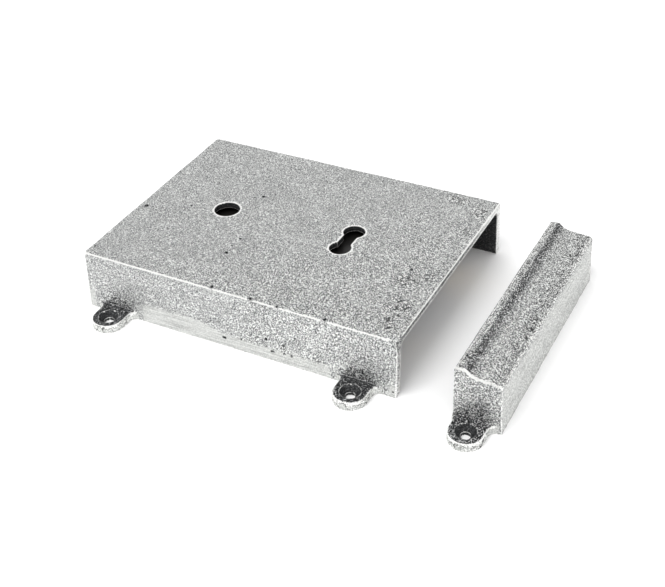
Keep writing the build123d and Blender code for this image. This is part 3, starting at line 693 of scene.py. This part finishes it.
# Darker on the keep: the cove, the inner face of the back wall and a spot on the end above the ear, as
# patina and painted shade; also darker along the top of the outer side and along the lip's edge.
cove = step_up(from_lip, COVE_START, COVE_DEEP_START) * step_up(from_lip, COVE_END, COVE_DEEP_END)
cove *= (height > ABOVE_EARS) & (up > 0.3) & (np.abs(normals[:, 1]) < 0.2)
back_wall = (normals[:, 0] < -0.7) & (from_lip > BACK_WALL_START)
outer_arris = (normals[:, 0] > 0.2) & (height > KEEP_TOP - OUTER_ARRIS_DROP)
lip_line = (from_lip < LIP_LINE) & (height > KEEP_TOP + LIP_LINE_RISE)
end_spot_place = (END_SPOT_X, keep_end, 2.2 * EAR_HEIGHT, END_SPOT_RADIUS)
end_spot = step_up(spot_reach(places, [end_spot_place]), 1, 0.2)
keep_darkening = np.maximum.reduce([
    COVE_DARKENING * cove, BACK_WALL_DARKENING * back_wall, OUTER_ARRIS_DARKENING * outer_arris,
    LIP_LINE_DARKENING * lip_line, END_SPOT_DARKENING * end_spot])
lip_coarse = step_up(from_lip, LIP_COARSE_END, LIP_COARSE_FULL)
outer_coarse = step_up(from_lip, OUTER_COARSE_START, OUTER_COARSE_FULL)
keep_grit = KEEP_GRIT * (1 + np.maximum(lip_coarse, outer_coarse) * (up > 0.5))
end_edge = (y < keep_end + END_EDGE_WIDTH) & (up > 0.3) & (height > ABOVE_EARS)
lip_tip = (from_lip > LIP_LINE) & (from_lip < 2.5 * LIP_LINE) & (height > KEEP_TOP + LIP_SHINE_RISE)
keep_worn = np.maximum(1.0 * end_edge, LIP_SHINE * lip_tip)
weather_and_painted_light(keep, keep_holes, keep_ground, keep_grit, keep_scabs, keep_pits, keep_darkening, keep_worn)
roughen(keep, "keep_waves", KEEP_WAVE_SPACING, WAVE_HEIGHT)
keep.data.materials.append(iron)
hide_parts("keep")
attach(keep, "keep")


# Lock case, back plate and forend: the steel box of the lock.
# Pressed sheet steel, dipped in black japan and stoved; the case is screwed to the back plate.
def paint(material, *names):
    """Gives CAD nodes a material in place of their own."""
    for name in names:
        frame["nodes"][name].data.materials.clear()
        frame["nodes"][name].data.materials.append(material)


# Black japan: a thick, warm black with the low ripple of a stoved coat.
RIPPLE = 2.2
japan, tree = new_material("black_japan_on_steel")
where = add_node(tree, "TexCoord", output="Object")
ripple = add_node(tree, "TexNoise", {"Vector": where, "Scale": 1000 / RIPPLE, "Detail": 1.0})
relief = add_node(tree, "Bump", {"Height": ripple, "Strength": 0.3, "Distance": 0.08 * MM})
dust = add_node(tree, "MapRange", {
    "Value": ripple, "From Min": 0.3, "From Max": 0.7, "To Min": 0.3, "To Max": 0.42})
surface = add_node(tree, "BsdfPrincipled", {"Base Color": "1C1B1A", "Roughness": dust, "Normal": relief})
add_node(tree, "OutputMaterial", {"Surface": surface})
paint(japan, "lock_case", "back_plate", "forend")

# Bolts and lever spacers: the brass pieces.
# Cast yellow brass, milled along their length and draw-filed; the bolts slide in the case.
# All the worked metals' marks are spacings in mm, a few times coarser than the real ones so that they show.
TARNISH_SIZE = 9
BRASS_MARKS = (14, 0.5)


def drawn_metal(name, colour, dull_colour, roughness, marks):
    """A worked metal, dulled in patches, with fine marks whose spacings are given along and across X."""
    material, tree = new_material(name)
    where = add_node(tree, "TexCoord", output="Object")
    along, across = marks
    scale = (1000 / along, 1000 / across, 1000 / across)
    stretched = add_node(tree, "Mapping", {"Vector": where, "Scale": scale})
    lines = add_node(tree, "TexNoise", {"Vector": stretched, "Scale": 1.0, "Detail": 2.0})
    dull = add_node(tree, "TexNoise", {"Vector": where, "Scale": 1000 / TARNISH_SIZE, "Detail": 3.0})
    dull_share = add_node(tree, "MapRange", {"Value": dull, "From Min": 0.4, "From Max": 0.7})
    tone = add_node(tree, "Mix", {0: dull_share, 6: colour, 7: dull_colour}, output=2, data_type="RGBA")
    relief = add_node(tree, "Bump", {"Height": lines, "Strength": 0.35, "Distance": 0.05 * MM})
    rough = add_node(tree, "MapRange", {
        "Value": dull, "To Min": roughness - 0.08, "To Max": roughness + 0.12})
    surface = add_node(tree, "BsdfPrincipled", {
        "Base Color": tone, "Roughness": rough, "Metallic": 1.0, "Normal": relief})
    add_node(tree, "OutputMaterial", {"Surface": surface})
    return material


# Filed brass: warm yellow with fine lines, browner where it tarnished.
brass = drawn_metal("filed_brass", "C8AE78", "978158", 0.3, BRASS_MARKS)
paint(brass, "latch_bolt", "dead_bolt", "lever_spacers")

# Studs, pins, pillars, rivets and screws: the small turned pieces.
# Bright mild steel, riveted into the case or screwed through the back plate.
# Turned steel: cold grey, with close turning marks.
TURNING_MARKS = (6, 0.35)
turned = drawn_metal("turned_steel", "C3C5C8", "8F9194", 0.28, TURNING_MARKS)
paint(turned, "back_plate_screws", "forend_rivets", "case_pillars", "latch_guide_stud", "bolt_guide_stud",
      "lever_pivot_stud", "lever_stop_pin", "bolt_stump")

# Levers, spring stop and key ward: the stamped pieces.
# Blanked from mild steel strip and tumbled, the stop and ward riveted to the back plate.
# Tumbled steel: darker and softer than the turned pieces, with a few dull patches.
TUMBLING_MARKS = (3, 0.8)
tumbled = drawn_metal("tumbled_steel", "A3A5A8", "6F7174", 0.42, TUMBLING_MARKS)
paint(tumbled, "spring_stop", "key_ward", "lever_1", "lever_2")

# Follower: the hub that draws the latch.
# Malleable iron as cast, oiled black, with filed journals that turn in the case and the back plate.
# Oiled iron: nearly black, with a soft sheen on its grain, which is drawn a little coarse.
FOLLOWER_GRAIN = 1.2
oiled, tree = new_material("oiled_malleable_iron")
where = add_node(tree, "TexCoord", output="Object")
sand = add_node(tree, "TexNoise", {"Vector": where, "Scale": 1000 / FOLLOWER_GRAIN, "Detail": 2.0})
tone = add_node(tree, "ValToRGB", {"Fac": sand}, stops=[
    (0.35, "232222"), (0.55, "3F3D3C"), (0.75, "6A6867")])
relief = add_node(tree, "Bump", {"Height": sand, "Strength": 0.6, "Distance": 0.15 * MM})
surface = add_node(tree, "BsdfPrincipled", {
    "Base Color": tone, "Roughness": 0.42, "Metallic": 0.7, "Normal": relief})
add_node(tree, "OutputMaterial", {"Surface": surface})
paint(oiled, "follower")

# Springs: the latch's coil and the bowed wire of each lever.
# Drawn spring steel, tempered blue. The coil stands loose between the latch and its stop; each wire is
# driven into its lever, and its tip bears on the rim of the case.
DRAWING_MARKS = (4, 0.6)
blued = drawn_metal("blued_spring_steel", "4A5468", "3A3A40", 0.3, DRAWING_MARKS)


def sprung_copy(node):
    """A smooth-shaded copy of a spring's form in blued steel, which stands in for the CAD node."""
    spring = merged_copy(node, node + "_wire")
    bpy.ops.object.shade_smooth_by_angle(angle=math.radians(50))
    spring.data.materials.append(blued)
    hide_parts(node)
    return spring


coil = sprung_copy("latch_spring")
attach(coil, "lock")
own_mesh(coil)
for number in (1, 2):
    wire = sprung_copy(f"lever_{number}_spring")
    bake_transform(wire)

# The table: a flat white sheet, so wide that its edge is never seen.
# White paper: matt and pure white, shaded only close round the castings.
SHEET_SIZE = 6.0
PAPER_GLOW = 0.04
paper, tree = new_material("white_paper_sheet")
camera_ray = add_node(tree, "LightPath", output="Is Camera Ray")
glossy_ray = camera_ray.node.outputs["Is Glossy Ray"]
seen = add_node(tree, "Math", {0: camera_ray, 1: glossy_ray}, operation="MAXIMUM")
glow_strength = add_node(tree, "Math", {0: seen, 1: PAPER_GLOW}, operation="MULTIPLY")
sheet = add_node(tree, "BsdfDiffuse", {"Color": "FDFDFD"})
glow = add_node(tree, "Emission", {"Color": "FFFFFF", "Strength": glow_strength})
surface = add_node(tree, "AddShader", {0: sheet, 1: glow})
add_node(tree, "OutputMaterial", {"Surface": surface})
bpy.ops.mesh.primitive_plane_add(size=SHEET_SIZE)
table = bpy.context.object
table.name = "paper_sheet"
table.data.materials.append(paper)

# The room: even white light from all round, and one large soft lamp above the front left.
# As behind crossed polarising screens, the lamp itself doesn't mirror in the metal, so the castings keep
# their grey from every side.
ROOM_LIGHT = 0.95
ROOM_SEEN = 1.0
LAMP_PLACE = Vector((-0.20, -0.75, 1.35))
LAMP_SIZE = 0.8
LAMP_WATTS = 12
room = bpy.data.worlds.new("white_room")
room.use_nodes = True
tree = room.node_tree
tree.nodes.clear()
camera_ray = add_node(tree, "LightPath", output="Is Camera Ray")
transmission_ray = camera_ray.node.outputs["Is Transmission Ray"]
seen = add_node(tree, "Math", {0: camera_ray, 1: transmission_ray}, operation="MAXIMUM")
strength = add_node(tree, "MapRange", {"Value": seen, "To Min": ROOM_LIGHT, "To Max": ROOM_SEEN})
light = add_node(tree, "Background", {"Color": "FFFFFF", "Strength": strength})
add_node(tree, "OutputWorld", {"Surface": light})
bpy.context.scene.world = room
lamp = bpy.data.objects.new("soft_lamp", bpy.data.lights.new("soft_lamp", "AREA"))
lamp.data.size = LAMP_SIZE
lamp.data.energy = LAMP_WATTS
lamp.visible_glossy = False
bpy.context.scene.collection.objects.link(lamp)
aim = (-LAMP_PLACE).to_track_quat("-Z", "Y")
lamp.matrix_world = Matrix.Translation(LAMP_PLACE) @ aim.to_matrix().to_4x4()

# Camera: the photograph's own place, direction and lens.
# They are solved on the corners of the cover.
IMAGE_WIDTH = 665
FOCAL_PIXELS = 1175.44
AZIMUTH = math.radians(28.759)
ELEVATION = math.radians(36.317)
ROLL = math.radians(-2.566)
CAMERA_PLACE = Vector((229.97, -428.94, 355.82)) * MM
back = Vector((math.sin(AZIMUTH) * math.cos(ELEVATION), -math.cos(AZIMUTH) * math.cos(ELEVATION),
               math.sin(ELEVATION)))
right = Vector((math.cos(AZIMUTH), math.sin(AZIMUTH), 0))
up = back.cross(right)
across = right * math.cos(ROLL) + up * math.sin(ROLL)
upward = up * math.cos(ROLL) - right * math.sin(ROLL)
camera = bpy.data.objects.new("camera", bpy.data.cameras.new("camera"))
bpy.context.scene.collection.objects.link(camera)
camera.matrix_world = Matrix.Translation(CAMERA_PLACE) @ Matrix((across, upward, back)).transposed().to_4x4()
camera.data.sensor_fit = "HORIZONTAL"
camera.data.lens = camera.data.sensor_width * FOCAL_PIXELS / IMAGE_WIDTH
bpy.context.scene.camera = camera
bpy.context.scene.view_settings.view_transform = "Standard"
